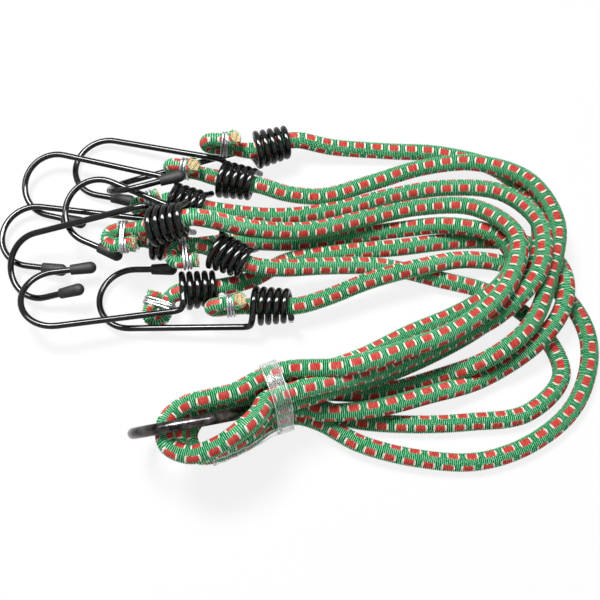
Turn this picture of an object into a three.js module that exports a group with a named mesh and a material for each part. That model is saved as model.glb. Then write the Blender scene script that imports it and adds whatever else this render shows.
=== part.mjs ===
// Bungee spider: four elastic cords folded in half through one steel ring, with eight hooked ends.
// Lengths are in millimetres and angles in degrees. The floor is z = 0 and the photograph looks along +Y.
// Places are given from the middle of the whole heap, and the finished group is moved to its own origin.
import * as THREE from 'three'

// Cord: a rubber core in a woven cover, squeezed thinner where it is folded back under a wire clip.
const cordDiameter = 7.8
const squeezedDiameter = 6.2
const coreDiameter = 5
const coreShowing = 1
const partGap = 0.35
const cordSides = 8

// Stopper knob at each cord end.
const foldRadius = 3.5
const tailLength = 4.5

// Wire clip round the two legs of the knob.
const clipWire = 1.1
const clipTurns = 2
const clipPitch = 1.7

// Hook: a conical coil that the cord passes through, a shank, a half-round bend and a tip leg.
const hookWire = 2.8
const coilTurns = 5
const coilPitch = 3.3
const coilBigRadius = 7.6
const coilPlay = 0.5
const shankOffset = 10
const kneeRadius = 4
const shankLength = 54
const bendRadius = 14.5
const tipLength = 19
const wireSides = 5
const turnSteps = 8
const bendSteps = 8

// Vinyl cap pushed over the tip of each hook.
const capLength = 11.5
const capBoreDepth = 9
const capMouthDiameter = 4.6
const capEndDiameter = 5.4
const capSides = 10

// Ring that all four cords run through.
const ringDiameter = 48
const ringWire = 4.6
const ringCentre = [-46, -64, 24]
const ringHeadingAngle = 11
const ringLeanAngle = 18.5

// Clear band that holds the eight strands together beside the ring.
const bandWidth = 9
const bandThickness = 0.6
const bandPlay = 1
const bandHeadingAngle = 20
const bandCentre = [-10, -52]

// Middle of the footprint of everything but the cords, which becomes the origin.
const footprintMiddle = [-69.3, 4.6, 0]

// Each arm: the place of the coil mouth, with the heading and pitch of the coil axis and the roll of the hook
// about it, then the places of the wire clip and of the knob's fold, with the angle that the fold leans to.
const arms = {
  1: { mouth: [-22, 71, 12], hookAngles: [198, 1, 52], clip: [-36, 71, 14], fold: [-44, 71, 15], foldAngle: 90 },
  2: { mouth: [-38, 58, 9], hookAngles: [166, -5, 357], clip: [-53, 61, 10], fold: [-60, 62, 10], foldAngle: 80 },
  3: { mouth: [-60, 46, 10], hookAngles: [165, -2, 344], clip: [-68, 44, 8], fold: [-74, 42, 7], foldAngle: 90 },
  4: { mouth: [-65, 21, 31], hookAngles: [185, -19, 342], clip: [-76, 21, 29], fold: [-83, 21, 28], foldAngle: 0 },
  5: { mouth: [-67, 26, 9], hookAngles: [171, -3, 355], clip: [-75, 26, 8], fold: [-81, 25, 8], foldAngle: 90 },
  6: { mouth: [-39, 17, 19], hookAngles: [156, 2, 346], clip: [-51, 17, 21], fold: [-57, 16, 21], foldAngle: 0 },
  7: { mouth: [-53, 1, 9], hookAngles: [190, 5, 191], clip: [-59, -5, 6], fold: [-61, -12, 5], foldAngle: 180 },
  8: { mouth: [-21, -6, 9], hookAngles: [179, -4, 183], clip: [-31, -7, 9], fold: [-39, -8, 9], foldAngle: 85 },
}

// Each cord: the arm at either end and the route between the two coils, through the band and the ring.
const cords = {
  a: {
    ends: [4, 3],
    route: [
      [-40, 23, 35], [-21, 24, 24], [3, 27, 17], [28, 35, 13], [52, 40, 14], [77, 37, 19], [93, 20, 24],
      [86, -5, 27], [66, -23, 27], [42, -34, 29], [17, -43, 33], [-6, -44, 32], [-17, -48, 32],
      [-26, -54, 34], [-36, -57, 35], [-46, -60, 35], [-53, -67, 35], [-52, -76, 35], [-43, -80, 35],
      [-33, -77, 36], [-24, -71, 37], [-17, -63, 34], [-14, -57, 32], [-3, -53, 32], [12, -48, 29],
      [37, -38, 21], [61, -26, 18], [84, -14, 19], [101, 4, 24], [104, 27, 22], [90, 47, 15],
      [66, 53, 9], [41, 51, 5], [16, 44, 5], [-12, 40, 6],
    ],
  },
  b: {
    ends: [5, 1],
    route: [
      [-31, 27, 6], [-6, 27, 5], [18, 30, 4], [43, 33, 6], [67, 32, 12], [87, 26, 13], [93, 14, 13],
      [85, 1, 13], [68, -9, 9], [46, -19, 9], [25, -31, 12], [5, -41, 20], [-6, -45, 23], [-17, -49, 23],
      [-26, -53, 25], [-35, -56, 26], [-44, -60, 26], [-50, -67, 26], [-48, -75, 26], [-40, -77, 26],
      [-30, -73, 25], [-21, -67, 24], [-14, -58, 23], [-3, -54, 23], [10, -49, 20], [32, -40, 13],
      [54, -29, 9], [75, -17, 9], [94, -3, 13], [103, 14, 13], [106, 33, 12], [102, 52, 7], [89, 66, 5],
      [65, 74, 4], [40, 75, 5], [14, 76, 7],
    ],
  },
  c: {
    ends: [2, 7],
    route: [
      [-6, 51, 7], [10, 51, 5], [32, 58, 5], [56, 65, 7], [80, 65, 11], [102, 53, 16], [112, 29, 19],
      [107, 5, 18], [97, -18, 17], [79, -32, 14], [57, -38, 6], [33, -44, 5], [12, -46, 11],
      [-6, -45, 14], [-17, -49, 14], [-26, -50, 16], [-35, -54, 18], [-43, -60, 18], [-46, -68, 19],
      [-42, -75, 18], [-33, -74, 17], [-23, -68, 15], [-14, -58, 14], [-3, -54, 14], [9, -56, 14],
      [30, -54, 13], [53, -47, 10], [77, -38, 5], [99, -25, 10], [111, -11, 13], [115, 4, 12],
      [112, 19, 6], [104, 26, 4], [88, 28, 5], [66, 28, 4], [43, 24, 6], [18, 21, 7], [-6, 17, 7],
      [-23, 8, 6],
    ],
  },
  d: {
    ends: [6, 8],
    route: [
      [-10, 9, 16], [12, 12, 12], [36, 14, 7], [60, 9, 5], [84, 2, 4], [103, -14, 4], [111, -36, 4],
      [95, -53, 4], [70, -57, 4], [45, -58, 4], [22, -56, 4], [8, -51, 5], [-6, -46, 6], [-17, -50, 6],
      [-27, -50, 8], [-38, -49, 10], [-46, -56, 11], [-49, -64, 11], [-44, -71, 10], [-34, -71, 9],
      [-23, -66, 6], [-14, -59, 6], [-3, -55, 6], [8, -58, 6], [24, -67, 6], [48, -73, 5], [73, -74, 4],
      [96, -66, 4], [115, -50, 4], [124, -27, 4], [122, -10, 4], [110, 7, 4], [91, 16, 5], [72, 17, 8],
      [52, 11, 13], [31, 5, 13], [10, -3, 11],
    ],
  },
}

// Sizes that follow from the ones above.
const cordRadius = cordDiameter / 2
const squeezedRadius = squeezedDiameter / 2
const wireRadius = hookWire / 2
const clipRadius = clipWire / 2
const stepShrink = Math.cos(Math.PI / turnSteps)
const coilSmallRadius = (cordRadius + coilPlay + wireRadius) / stepShrink
const coilLength = coilTurns * coilPitch
const exitLength = coilLength + hookWire

const colours = {
  cover: 0x1d8a50,
  core: 0xe8d29a,
  blackWire: 0x111111,
  vinyl: 0x3c3c3e,
  clip: 0xc9ccd0,
  ring: 0x3a3c40,
  clear: 0xdfe8ea,
}

const vector = (place) => new THREE.Vector3(...place)
const radians = (degrees) => THREE.MathUtils.degToRad(degrees)
const upward = new THREE.Vector3(0, 0, 1)

const spider = new THREE.Group()
spider.name = 'bungee_spider'

function addPart(name, geometry, colour, roughness, metalness) {
  const material = new THREE.MeshStandardMaterial({ color: colour, roughness, metalness })
  const mesh = new THREE.Mesh(geometry, material)
  mesh.name = name
  spider.add(mesh)
}

// One closed tube through the stations, with a radius at each, mitred where it turns.
function tubeAlong(stations, radii, sides) {
  const places = []
  const faces = []
  const ahead = stations.slice(1).map((station, index) => station.clone().sub(stations[index]).normalize())
  const tangents = stations.map((station, index) => {
    const before = ahead[Math.max(index - 1, 0)]
    const after = ahead[Math.min(index, ahead.length - 1)]
    return before.clone().add(after).normalize()
  })
  const side = new THREE.Vector3().crossVectors(tangents[0], upward)
  if (side.lengthSq() < Number.EPSILON) side.set(1, 0, 0)
  side.normalize()
  stations.forEach((station, index) => {
    const tangent = tangents[index]
    side.addScaledVector(tangent, -side.dot(tangent)).normalize()
    const top = new THREE.Vector3().crossVectors(tangent, side)
    for (let corner = 0; corner < sides; corner += 1) {
      const angle = (2 * Math.PI * corner) / sides
      const place = station.clone()
      place.addScaledVector(side, radii[index] * Math.cos(angle))
      place.addScaledVector(top, radii[index] * Math.sin(angle))
      places.push(...place.toArray())
    }
  })
  for (let ring = 0; ring < stations.length - 1; ring += 1) {
    for (let corner = 0; corner < sides; corner += 1) {
      const next = (corner + 1) % sides
      const here = ring * sides
      const beyond = here + sides
      faces.push(here + corner, here + next, beyond + next, here + corner, beyond + next, beyond + corner)
    }
  }
  const last = (stations.length - 1) * sides
  for (let corner = 1; corner < sides - 1; corner += 1) {
    faces.push(0, corner + 1, corner, last, last + corner, last + corner + 1)
  }
  const geometry = new THREE.BufferGeometry()
  geometry.setAttribute('position', new THREE.Float32BufferAttribute(places, 3))
  geometry.setIndex(faces)
  geometry.computeVertexNormals()
  return geometry
}

// Directions of one hook: along the coil axis towards the bend, across it from shank to tip leg, and square to both.
function hookFrame(arm) {
  const [heading, pitch, roll] = arm.hookAngles.map(radians)
  const along = new THREE.Vector3(
    Math.cos(pitch) * Math.cos(heading), Math.cos(pitch) * Math.sin(heading), Math.sin(pitch))
  const level = new THREE.Vector3(-Math.sin(heading), Math.cos(heading), 0)
  const steep = new THREE.Vector3().crossVectors(along, level)
  const across = level.multiplyScalar(Math.cos(roll)).addScaledVector(steep, Math.sin(roll))
  const square = new THREE.Vector3().crossVectors(along, across)
  return { origin: vector(arm.mouth), along, across, square }
}

// Directions of one knob: from the clip to the fold, and from the first leg to the second.
function knobFrame(arm) {
  const clip = vector(arm.clip)
  const along = vector(arm.fold).sub(clip).normalize()
  const level = new THREE.Vector3().crossVectors(upward, along).normalize()
  const steep = new THREE.Vector3().crossVectors(along, level)
  const lean = radians(arm.foldAngle)
  const across = level.multiplyScalar(Math.cos(lean)).addScaledVector(steep, Math.sin(lean))
  const square = new THREE.Vector3().crossVectors(along, across)
  return { origin: clip, along, across, square, reach: vector(arm.fold).distanceTo(clip) }
}

function placeIn(frame, along, across, square) {
  return frame.origin.clone()
    .addScaledVector(frame.along, along)
    .addScaledVector(frame.across, across)
    .addScaledVector(frame.square, square)
}

// Stations of a cord end: cut end, second leg, fold, first leg, coil mouth and the place where it leaves the coil.
function endStations(arm) {
  const knob = knobFrame(arm)
  const hook = hookFrame(arm)
  const turn = knob.reach - foldRadius
  const stations = [placeIn(knob, -tailLength, 2 * foldRadius, 0)]
  for (let step = 0; step <= 4; step += 1) {
    const angle = (Math.PI * step) / 4
    const rise = foldRadius * (1 + Math.cos(angle))
    stations.push(placeIn(knob, turn + foldRadius * Math.sin(angle), rise, 0))
  }
  const radii = stations.map(() => squeezedRadius)
  stations.push(placeIn(knob, -clipTurns * clipPitch / 2 - clipWire, 0, 0))
  radii.push(squeezedRadius)
  stations.push(hook.origin, placeIn(hook, -exitLength, 0, 0))
  radii.push(cordRadius, cordRadius)
  return { stations, radii }
}

// The free run of a cord, as a smooth curve through its route with two stations to each span.
function freeStations(start, route, finish) {
  const curve = new THREE.CatmullRomCurve3([start, ...route.map(vector), finish], false, 'centripetal')
  return curve.getPoints(2 * (route.length + 1)).slice(1, -1)
}

function makeCord(name, cord) {
  const first = endStations(arms[cord.ends[0]])
  const second = endStations(arms[cord.ends[1]])
  const middle = freeStations(first.stations.at(-1), cord.route, second.stations.at(-1))
  const stations = [...first.stations, ...middle, ...second.stations.toReversed()]
  const radii = [...first.radii, ...middle.map(() => cordRadius), ...second.radii.toReversed()]
  addPart(`cord_${name}`, tubeAlong(stations, radii, cordSides), colours.cover, 0.9, 0)
}

// The beige rubber that shows at a cut end.
function makeCore(number, arm) {
  const knob = knobFrame(arm)
  const start = placeIn(knob, -tailLength - partGap, 2 * foldRadius, 0)
  const finish = placeIn(knob, -tailLength - partGap - coreShowing, 2 * foldRadius, 0)
  const radius = coreDiameter / 2
  addPart(`core_end_${number}`, tubeAlong([start, finish], [radius, radius], cordSides), colours.core, 0.8, 0)
}

// One wire clip: turns that run round both legs of the knob, as a stretched round with five points at each end.
function makeClip(number, arm) {
  const knob = knobFrame(arm)
  const radius = (squeezedRadius + partGap + clipRadius) / stepShrink
  const stations = []
  const stepsPerTurn = turnSteps + 2
  const steps = clipTurns * stepsPerTurn
  for (let step = 0; step < steps; step += 1) {
    const inTurn = step % stepsPerTurn
    const secondLeg = inTurn >= stepsPerTurn / 2
    const angle = (Math.PI * (inTurn - (secondLeg ? 1 : 0))) / (turnSteps / 2) + Math.PI / 2
    const middle = secondLeg ? 2 * foldRadius : 0
    const advance = clipPitch * (step / stepsPerTurn - clipTurns / 2)
    stations.push(placeIn(knob, advance, middle + radius * Math.cos(angle), radius * Math.sin(angle)))
  }
  const tail = stations[steps - 1].clone().sub(stations[steps - 2]).setLength(clipWire)
  stations.push(stations[steps - 1].clone().add(tail))
  const geometry = tubeAlong(stations, stations.map(() => clipRadius), wireSides)
  addPart(`wire_clip_${number}`, geometry, colours.clip, 0.3, 0.9)
  return leastGap(stations, stepsPerTurn, clipWire)
}

// Stations of one hook: straight start, conical coil, knee, shank, bend and tip leg.
function hookStations(arm) {
  const frame = hookFrame(arm)
  const stations = []
  const kneeAngle = -Math.asin(kneeRadius / shankOffset)
  const coilSteps = coilTurns * turnSteps
  for (let step = 0; step < coilSteps; step += 1) {
    const share = step / coilSteps
    const angle = 2 * Math.PI * coilTurns * (share - 1)
    const radius = THREE.MathUtils.lerp(coilSmallRadius, coilBigRadius, share)
    stations.push(placeIn(frame, coilLength * (share - 1), -radius * Math.cos(angle), radius * Math.sin(angle)))
  }
  stations.push(placeIn(frame, 0, -shankOffset * Math.cos(kneeAngle), -kneeRadius))
  for (let step = 1; step <= 2; step += 1) {
    const angle = (Math.PI * step) / 4
    const forward = kneeRadius * (1 - Math.cos(angle))
    stations.push(placeIn(frame, forward, -shankOffset, kneeRadius * (Math.sin(angle) - 1)))
  }
  for (let step = 0; step <= bendSteps; step += 1) {
    const angle = (Math.PI * step) / bendSteps
    const across = bendRadius * (1 - Math.cos(angle)) - shankOffset
    stations.push(placeIn(frame, shankLength + bendRadius * Math.sin(angle), across, 0))
  }
  const tip = shankLength - tipLength + capLength - capBoreDepth + partGap
  stations.push(placeIn(frame, tip, 2 * bendRadius - shankOffset, 0))
  const start = stations[0].clone().sub(stations[1]).setLength(hookWire).add(stations[0])
  return [start, ...stations]
}

// Least distance between the surfaces of neighbouring turns, on points set close along the wire.
function leastGap(stations, stepsPerTurn, wire) {
  const points = []
  stations.slice(1).forEach((station, index) => {
    for (let part = 0; part < 4; part += 1) {
      points.push({ at: index + part / 4, place: stations[index].clone().lerp(station, part / 4) })
    }
  })
  let least = Infinity
  points.forEach((one, index) => {
    points.slice(index + 1).forEach((other) => {
      const apart = other.at - one.at
      if (apart > stepsPerTurn / 2) least = Math.min(least, one.place.distanceTo(other.place))
    })
  })
  return least - wire
}

function makeHook(number, arm) {
  const stations = hookStations(arm)
  const geometry = tubeAlong(stations, stations.map(() => wireRadius), wireSides)
  addPart(`hook_${number}`, geometry, colours.blackWire, 0.25, 0.6)
  return leastGap(stations, turnSteps, hookWire)
}

// A tip cap: a bored sleeve that widens to a rounded end.
function makeCap(number, arm) {
  const frame = hookFrame(arm)
  const bore = wireRadius + partGap
  const mouth = capMouthDiameter / 2
  const end = capEndDiameter / 2
  const outline = [new THREE.Vector2(0, capBoreDepth), new THREE.Vector2(bore, capBoreDepth)]
  outline.push(new THREE.Vector2(bore, 0), new THREE.Vector2(mouth, 0))
  for (let step = 0; step <= 3; step += 1) {
    const angle = (Math.PI * step) / 6
    outline.push(new THREE.Vector2(end * Math.cos(angle), capLength - end + end * Math.sin(angle)))
  }
  outline.at(-1).x = 0
  const geometry = new THREE.LatheGeometry(outline, capSides)
  const turn = new THREE.Matrix4().makeBasis(frame.square.clone().negate(), frame.along.clone().negate(), frame.across)
  geometry.applyMatrix4(turn)
  const foot = placeIn(frame, shankLength - tipLength + capLength, 2 * bendRadius - shankOffset, 0)
  geometry.translate(foot.x, foot.y, foot.z)
  addPart(`tip_cap_${number}`, geometry, colours.vinyl, 0.7, 0)
}

function makeRing() {
  const geometry = new THREE.TorusGeometry((ringDiameter - ringWire) / 2, ringWire / 2, 8, 28)
  geometry.rotateX(radians(90 + ringLeanAngle))
  geometry.rotateZ(radians(ringHeadingAngle))
  geometry.translate(...ringCentre)
  addPart('steel_ring', geometry, colours.ring, 0.35, 0.9)
}

// Where the strands within half a ring of the band pass through its middle, as places across and up.
function bandLegs(middle, along, across) {
  return Object.values(cords).flatMap((cord) => {
    const places = cord.route.map((place) => vector(place).sub(middle))
    return places.slice(1).flatMap((after, index) => {
      const before = places[index]
      const from = before.dot(along)
      const to = after.dot(along)
      if (from * to > 0 || Math.hypot(before.x, before.y) > ringDiameter / 2) return []
      const crossing = before.clone().lerp(after, from / (from - to))
      return [new THREE.Vector2(crossing.dot(across), crossing.z)]
    })
  })
}

// Closed outline at one distance round the outermost of the places.
function outlineRound(places, radius) {
  const outline = []
  let at = places.reduce((lowest, place) => (place.y < lowest.y ? place : lowest))
  const first = at
  let heading = 0
  do {
    const turns = places.filter((place) => place !== at).map((place) => {
      const angle = Math.atan2(place.y - at.y, place.x - at.x)
      return { place, turn: THREE.MathUtils.euclideanModulo(angle - heading + radians(1), 2 * Math.PI) - radians(1) }
    })
    const next = turns.reduce((least, one) => (one.turn < least.turn ? one : least))
    for (let step = 0; step <= 3; step += 1) {
      const angle = heading - Math.PI / 2 + (next.turn * step) / 3
      outline.push(new THREE.Vector2(at.x + radius * Math.cos(angle), at.y + radius * Math.sin(angle)))
    }
    heading += next.turn
    at = next.place
  } while (at !== first)
  return outline
}

function makeBand() {
  const along = new THREE.Vector3(Math.cos(radians(bandHeadingAngle)), Math.sin(radians(bandHeadingAngle)), 0)
  const across = new THREE.Vector3().crossVectors(upward, along)
  const middle = new THREE.Vector3(...bandCentre, 0)
  const places = bandLegs(middle, along, across)
  const inner = cordRadius + bandPlay
  const shape = new THREE.Shape(outlineRound(places, inner + bandThickness))
  shape.holes.push(new THREE.Path(outlineRound(places, inner)))
  const geometry = new THREE.ExtrudeGeometry(shape, { depth: bandWidth, bevelEnabled: false })
  geometry.translate(0, 0, -bandWidth / 2)
  geometry.applyMatrix4(new THREE.Matrix4().makeBasis(across, upward, along))
  geometry.translate(middle.x, middle.y, 0)
  addPart('clear_band', geometry, colours.clear, 0.1, 0)
}

Object.entries(cords).forEach(([name, cord]) => makeCord(name, cord))
const gaps = Object.entries(arms).flatMap(([number, arm]) => {
  makeCore(number, arm)
  const clipGap = makeClip(number, arm)
  const hookGap = makeHook(number, arm)
  makeCap(number, arm)
  return [clipGap, hookGap]
})
console.log(`least gap of a winding to itself: ${Math.min(...gaps).toFixed(2)} mm`)
makeRing()
makeBand()
spider.position.copy(vector(footprintMiddle).negate())

export default spider
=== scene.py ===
# %% [markdown]
# # An eight-armed bungee spider
# Four elastic cords are folded in half through one steel ring, which makes eight arms. Each arm runs through
# the coil of a black wire hook, is folded back into a knob and held by a wire clip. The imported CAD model
# already fixes where everything is, so this lesson only dresses it: nothing is moved, and each new piece
# stands where the solid that it replaces stands.

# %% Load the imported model
import math

import bmesh
import bpy
from mathutils import Matrix, Vector


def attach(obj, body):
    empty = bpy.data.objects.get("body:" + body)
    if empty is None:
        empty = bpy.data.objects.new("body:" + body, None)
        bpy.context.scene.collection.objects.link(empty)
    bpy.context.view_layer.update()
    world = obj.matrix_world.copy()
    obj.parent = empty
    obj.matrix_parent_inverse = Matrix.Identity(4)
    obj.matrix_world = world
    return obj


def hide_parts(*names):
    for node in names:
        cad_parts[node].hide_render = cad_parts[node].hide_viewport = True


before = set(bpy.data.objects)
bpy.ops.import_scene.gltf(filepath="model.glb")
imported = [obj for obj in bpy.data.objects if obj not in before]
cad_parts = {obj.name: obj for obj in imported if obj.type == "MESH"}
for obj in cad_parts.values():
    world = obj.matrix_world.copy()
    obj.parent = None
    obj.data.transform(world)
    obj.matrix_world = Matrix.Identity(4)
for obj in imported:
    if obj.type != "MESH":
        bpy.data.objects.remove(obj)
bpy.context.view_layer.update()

# %% [markdown]
# The driving sizes are the ones that the CAD model was built from. A cord's cover is 7.8 mm across and the
# hooks are 2.8 mm wire. What else a piece needs stands where that piece is made, and what fits together is
# worked out from the same values, so that a coil still fits round its cord if one of them changes.

# %% Driving sizes
mm = 0.001
cord_diameter = 7.8 * mm
squeezed_diameter = 6.2 * mm
fold_radius = 3.5 * mm
tail_length = 4.5 * mm
hook_wire = 2.8 * mm
coil_turns = 5
coil_pitch = 3.3 * mm
part_gap = 0.35 * mm

cord_radius = cord_diameter / 2
wire_radius = hook_wire / 2
coil_length = coil_turns * coil_pitch
exit_length = coil_length + hook_wire
print(f"cord {cord_diameter / mm:.1f} mm, hook wire {hook_wire / mm:.1f} mm, coil {coil_length / mm:.1f} mm")

# %% [markdown]
# Places are written from the middle of the whole heap, as in the CAD source, and moved to the model's own
# origin, which is the middle of the footprint of everything but the cords. The hook of each arm has the
# heading and pitch of its coil axis and its roll about it.

# %% Places of the eight arms
footprint_middle = Vector((-0.0693, 0.0046, 0))
to_origin = Matrix.Translation(-footprint_middle)

arms = {
    1: {"mouth": (-0.022, 0.071, 0.012), "hook": (198, 1, 52),
        "clip": (-0.036, 0.071, 0.014), "fold": (-0.044, 0.071, 0.015), "lean": 90},
    2: {"mouth": (-0.038, 0.058, 0.009), "hook": (166, -5, 357),
        "clip": (-0.053, 0.061, 0.010), "fold": (-0.060, 0.062, 0.010), "lean": 80},
    3: {"mouth": (-0.060, 0.046, 0.010), "hook": (165, -2, 344),
        "clip": (-0.068, 0.044, 0.008), "fold": (-0.074, 0.042, 0.007), "lean": 90},
    4: {"mouth": (-0.065, 0.021, 0.031), "hook": (185, -19, 342),
        "clip": (-0.076, 0.021, 0.029), "fold": (-0.083, 0.021, 0.028), "lean": 0},
    5: {"mouth": (-0.067, 0.026, 0.009), "hook": (171, -3, 355),
        "clip": (-0.075, 0.026, 0.008), "fold": (-0.081, 0.025, 0.008), "lean": 90},
    6: {"mouth": (-0.039, 0.017, 0.019), "hook": (156, 2, 346),
        "clip": (-0.051, 0.017, 0.021), "fold": (-0.057, 0.016, 0.021), "lean": 0},
    7: {"mouth": (-0.053, 0.001, 0.009), "hook": (190, 5, 191),
        "clip": (-0.059, -0.005, 0.006), "fold": (-0.061, -0.012, 0.005), "lean": 180},
    8: {"mouth": (-0.021, -0.006, 0.009), "hook": (179, -4, 183),
        "clip": (-0.031, -0.007, 0.009), "fold": (-0.039, -0.008, 0.009), "lean": 85},
}
print("arms", len(arms))

# %% [markdown]
# A cord lies where it lies, so its route is a list of given points. The points run from one hook's
# coil, round the far turn, through the clear band, round the ring and back to the other hook.

# %% Routes of the four cords
cords = {
    "a": {
        "ends": (4, 3),
        "route": [
            (-0.040, 0.023, 0.035), (-0.021, 0.024, 0.024), (0.003, 0.027, 0.017), (0.028, 0.035, 0.013),
            (0.052, 0.040, 0.014), (0.077, 0.037, 0.019), (0.093, 0.020, 0.024), (0.086, -0.005, 0.027),
            (0.066, -0.023, 0.027), (0.042, -0.034, 0.029), (0.017, -0.043, 0.033), (-0.006, -0.044, 0.032),
            (-0.017, -0.048, 0.032), (-0.026, -0.054, 0.034), (-0.036, -0.057, 0.035),
            (-0.046, -0.060, 0.035), (-0.053, -0.067, 0.035), (-0.052, -0.076, 0.035),
            (-0.043, -0.080, 0.035), (-0.033, -0.077, 0.036), (-0.024, -0.071, 0.037),
            (-0.017, -0.063, 0.034), (-0.014, -0.057, 0.032), (-0.003, -0.053, 0.032),
            (0.012, -0.048, 0.029), (0.037, -0.038, 0.021), (0.061, -0.026, 0.018), (0.084, -0.014, 0.019),
            (0.101, 0.004, 0.024), (0.104, 0.027, 0.022), (0.090, 0.047, 0.015), (0.066, 0.053, 0.009),
            (0.041, 0.051, 0.005), (0.016, 0.044, 0.005), (-0.012, 0.040, 0.006),
        ],
    },
    "b": {
        "ends": (5, 1),
        "route": [
            (-0.031, 0.027, 0.006), (-0.006, 0.027, 0.005), (0.018, 0.030, 0.004), (0.043, 0.033, 0.006),
            (0.067, 0.032, 0.012), (0.087, 0.026, 0.013), (0.093, 0.014, 0.013), (0.085, 0.001, 0.013),
            (0.068, -0.009, 0.009), (0.046, -0.019, 0.009), (0.025, -0.031, 0.012), (0.005, -0.041, 0.020),
            (-0.006, -0.045, 0.023), (-0.017, -0.049, 0.023), (-0.026, -0.053, 0.025),
            (-0.035, -0.056, 0.026), (-0.044, -0.060, 0.026), (-0.050, -0.067, 0.026),
            (-0.048, -0.075, 0.026), (-0.040, -0.077, 0.026), (-0.030, -0.073, 0.025),
            (-0.021, -0.067, 0.024), (-0.014, -0.058, 0.023), (-0.003, -0.054, 0.023),
            (0.010, -0.049, 0.020), (0.032, -0.040, 0.013), (0.054, -0.029, 0.009), (0.075, -0.017, 0.009),
            (0.094, -0.003, 0.013), (0.103, 0.014, 0.013), (0.106, 0.033, 0.012), (0.102, 0.052, 0.007),
            (0.089, 0.066, 0.005), (0.065, 0.074, 0.004), (0.040, 0.075, 0.005), (0.014, 0.076, 0.007),
        ],
    },
    "c": {
        "ends": (2, 7),
        "route": [
            (-0.006, 0.051, 0.007), (0.010, 0.051, 0.005), (0.032, 0.058, 0.005), (0.056, 0.065, 0.007),
            (0.080, 0.065, 0.011), (0.102, 0.053, 0.016), (0.112, 0.029, 0.019), (0.107, 0.005, 0.018),
            (0.097, -0.018, 0.017), (0.079, -0.032, 0.014), (0.057, -0.038, 0.006), (0.033, -0.044, 0.005),
            (0.012, -0.046, 0.011), (-0.006, -0.045, 0.014), (-0.017, -0.049, 0.014),
            (-0.026, -0.050, 0.016), (-0.035, -0.054, 0.018), (-0.043, -0.060, 0.018),
            (-0.046, -0.068, 0.019), (-0.042, -0.075, 0.018), (-0.033, -0.074, 0.017),
            (-0.023, -0.068, 0.015), (-0.014, -0.058, 0.014), (-0.003, -0.054, 0.014),
            (0.009, -0.056, 0.014), (0.030, -0.054, 0.013), (0.053, -0.047, 0.010), (0.077, -0.038, 0.005),
            (0.099, -0.025, 0.010), (0.111, -0.011, 0.013), (0.115, 0.004, 0.012), (0.112, 0.019, 0.006),
            (0.104, 0.026, 0.004), (0.088, 0.028, 0.005), (0.066, 0.028, 0.004), (0.043, 0.024, 0.006),
            (0.018, 0.021, 0.007), (-0.006, 0.017, 0.007), (-0.023, 0.008, 0.006),
        ],
    },
    "d": {
        "ends": (6, 8),
        "route": [
            (-0.010, 0.009, 0.016), (0.012, 0.012, 0.012), (0.036, 0.014, 0.007), (0.060, 0.009, 0.005),
            (0.084, 0.002, 0.004), (0.103, -0.014, 0.004), (0.111, -0.036, 0.004), (0.095, -0.053, 0.004),
            (0.070, -0.057, 0.004), (0.045, -0.058, 0.004), (0.022, -0.056, 0.004), (0.008, -0.051, 0.005),
            (-0.006, -0.046, 0.006), (-0.017, -0.050, 0.006), (-0.027, -0.050, 0.008),
            (-0.038, -0.049, 0.010), (-0.046, -0.056, 0.011), (-0.049, -0.064, 0.011),
            (-0.044, -0.071, 0.010), (-0.034, -0.071, 0.009), (-0.023, -0.066, 0.006),
            (-0.014, -0.059, 0.006), (-0.003, -0.055, 0.006), (0.008, -0.058, 0.006),
            (0.024, -0.067, 0.006), (0.048, -0.073, 0.005), (0.073, -0.074, 0.004), (0.096, -0.066, 0.004),
            (0.115, -0.050, 0.004), (0.124, -0.027, 0.004), (0.122, -0.010, 0.004), (0.110, 0.007, 0.004),
            (0.091, 0.016, 0.005), (0.072, 0.017, 0.008), (0.052, 0.011, 0.013), (0.031, 0.005, 0.013),
            (0.010, -0.003, 0.011),
        ],
    },
}
print("route points", {name: len(cord["route"]) for name, cord in cords.items()})

# %% [markdown]
# The camera stands where the photographer's stood: in front of the heap, 66 degrees above the table, with a
# fairly long lens. How far off it stands follows from one measured number, how many pixels a millimetre
# fills at the middle of the 600 pixel picture.

# %% Camera
picture_pixels = 600
focal_pixels = 1100
pixels_per_mm = 2.25
shift_pixels = 2
elevation = math.radians(66)
distance = focal_pixels / pixels_per_mm * mm
nearest_seen = 10 * mm


def link(thing):
    """Puts an object into the scene."""
    bpy.context.scene.collection.objects.link(thing)


camera_data = bpy.data.cameras.new("camera")
camera_data.lens = camera_data.sensor_width * focal_pixels / picture_pixels
camera_data.clip_start = nearest_seen
camera_data.shift_x = -shift_pixels / picture_pixels
camera_data.shift_y = shift_pixels / picture_pixels
camera = bpy.data.objects.new("camera", camera_data)
link(camera)
bpy.context.scene.camera = camera
away = Vector((0, -math.cos(elevation), math.sin(elevation)))
camera.location = to_origin @ (away * distance)
camera.rotation_mode = "QUATERNION"
camera.rotation_quaternion = (-away).to_track_quat("-Z", "Y")
print("lens", round(camera_data.lens, 1), "mm, distance", round(distance, 3), "m")

# %% [markdown]
# Materials are sums and products of a few patterns. Written as nodes they are hard to read, so a small class
# wraps a socket and lets Python's own operators add the Math nodes. Colours are not numbers and go through
# Mix nodes instead.


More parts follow.
